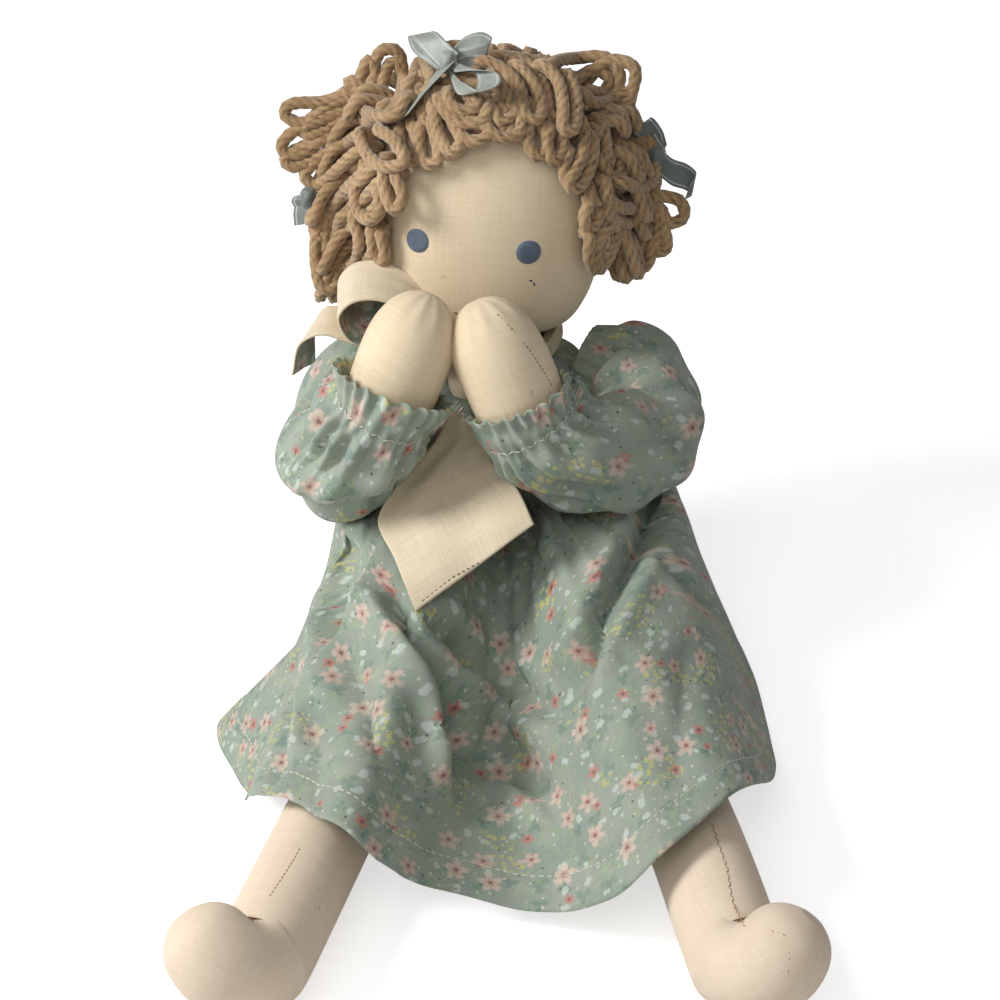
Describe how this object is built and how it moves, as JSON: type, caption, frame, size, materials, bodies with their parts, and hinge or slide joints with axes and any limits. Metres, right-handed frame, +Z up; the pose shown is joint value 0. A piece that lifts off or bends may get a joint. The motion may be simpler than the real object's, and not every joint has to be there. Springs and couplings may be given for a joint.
{
  "type": "rag doll",
  "caption": "Cloth rag doll that sits with its legs forward and both hands at its mouth, in a long-sleeved flower-print dress, with curly wool hair, hair ribbons and a linen scarf.",
  "frame": {"origin": "middle of the flat seat under the doll's body, on the surface it sits on", "axes": "+Z up, -Y the way the doll faces and its legs point, +X to the doll's own left"},
  "size_m": [0.2415, 0.3869, 0.268],
  "materials": {
    "cotton": "undyed woven cotton, matt",
    "filling": "loose polyester fibre",
    "print": "sage cotton with a small flower print, matt",
    "linen": "natural linen, matt",
    "yarn": "thick twisted wool, matt",
    "satin": "grey-green satin ribbon",
    "thread": "stranded embroidery cotton",
    "rubber": "flat knitted elastic",
    "shell": "cream shirt buttons"
  },
  "bodies": {
    "torso": {"torso_cover": "cotton", "torso_stuffing": "filling", "dress_bodice": "print", "dress_skirt": "print", "scarf_neckband": "linen", "scarf_knot": "linen", "scarf_loop_right": "linen", "scarf_loop_left": "linen", "scarf_tail_side": "linen", "scarf_tail_back": "linen", "scarf_tail_front": "linen", "back_button_upper": "shell", "back_button_lower": "shell"},
    "neck": {"neck": "cotton"},
    "head": {"head_cover": "cotton", "head_stuffing": "filling", "eye_left": "thread", "eye_right": "thread", "mouth_stitch": "thread", "ribbon_bow_top": "satin", "ribbon_bow_left": "satin", "ribbon_bow_right": "satin", "hair_fringe": "yarn", "hair_side_right": "yarn", "hair_side_left": "yarn", "hair_back": "yarn", "hair_crown": "yarn"},
    "left_upper_arm": {"left_upper_arm": "cotton", "left_upper_arm_stuffing": "filling", "left_sleeve": "print"},
    "left_forearm": {"left_forearm": "cotton", "left_forearm_stuffing": "filling", "left_cuff_elastic": "rubber"},
    "left_leg": {"left_leg": "cotton", "left_leg_stuffing": "filling"},
    "right_upper_arm": {"right_upper_arm": "cotton", "right_upper_arm_stuffing": "filling", "right_sleeve": "print"},
    "right_forearm": {"right_forearm": "cotton", "right_forearm_stuffing": "filling", "right_cuff_elastic": "rubber"},
    "right_leg": {"right_leg": "cotton", "right_leg_stuffing": "filling"}
  },
  "joints": [
    {"name": "neck_nod", "type": "hinge", "parent": "torso", "child": "neck", "pos_m": [0, 0.01486, 0.121], "axis": [1, 0, 0], "range_deg": [-5, 6], "stiffness_Nm_per_rad": 0.35},
    {"name": "head_turn", "type": "hinge", "parent": "neck", "child": "head", "pos_m": [0, 0.01486, 0.121], "axis": [0, 0.1219, 0.9925], "range_deg": [-15, 6]},
    {"name": "left_shoulder", "type": "hinge", "parent": "torso", "child": "left_upper_arm", "pos_m": [0.04281, 0.01302, 0.106], "axis": [0.7691, 0, 0.6391], "range_deg": [0, 60]},
    {"name": "left_elbow", "type": "hinge", "parent": "left_upper_arm", "child": "left_forearm", "pos_m": [0.06029, -0.02851, 0.09419], "axis": [0.535, -0.132, 0.8345], "range_deg": [0, 40], "deforming": ["left_sleeve"]},
    {"name": "right_shoulder", "type": "hinge", "parent": "torso", "child": "right_upper_arm", "pos_m": [-0.04281, 0.01302, 0.106], "axis": [0.7691, 0, -0.6391], "range_deg": [0, 60]},
    {"name": "right_elbow", "type": "hinge", "parent": "right_upper_arm", "child": "right_forearm", "pos_m": [-0.06799, -0.02273, 0.08908], "axis": [0.848, -0.088, -0.5227], "range_deg": [0, 40], "deforming": ["right_sleeve"]},
    {"name": "left_hip", "type": "hinge", "parent": "torso", "child": "left_leg", "pos_m": [0.021, -0.03845, 0.021], "axis": [1, 0, 0], "range_deg": [-10, 60], "deforming": ["dress_skirt"]},
    {"name": "right_hip", "type": "hinge", "parent": "torso", "child": "right_leg", "pos_m": [-0.021, -0.03845, 0.021], "axis": [1, 0, 0], "range_deg": [-10, 60]}
  ],
  "couplings": [
    {"joint": "right_hip", "follows": "left_hip", "ratio": 1}
  ]
}
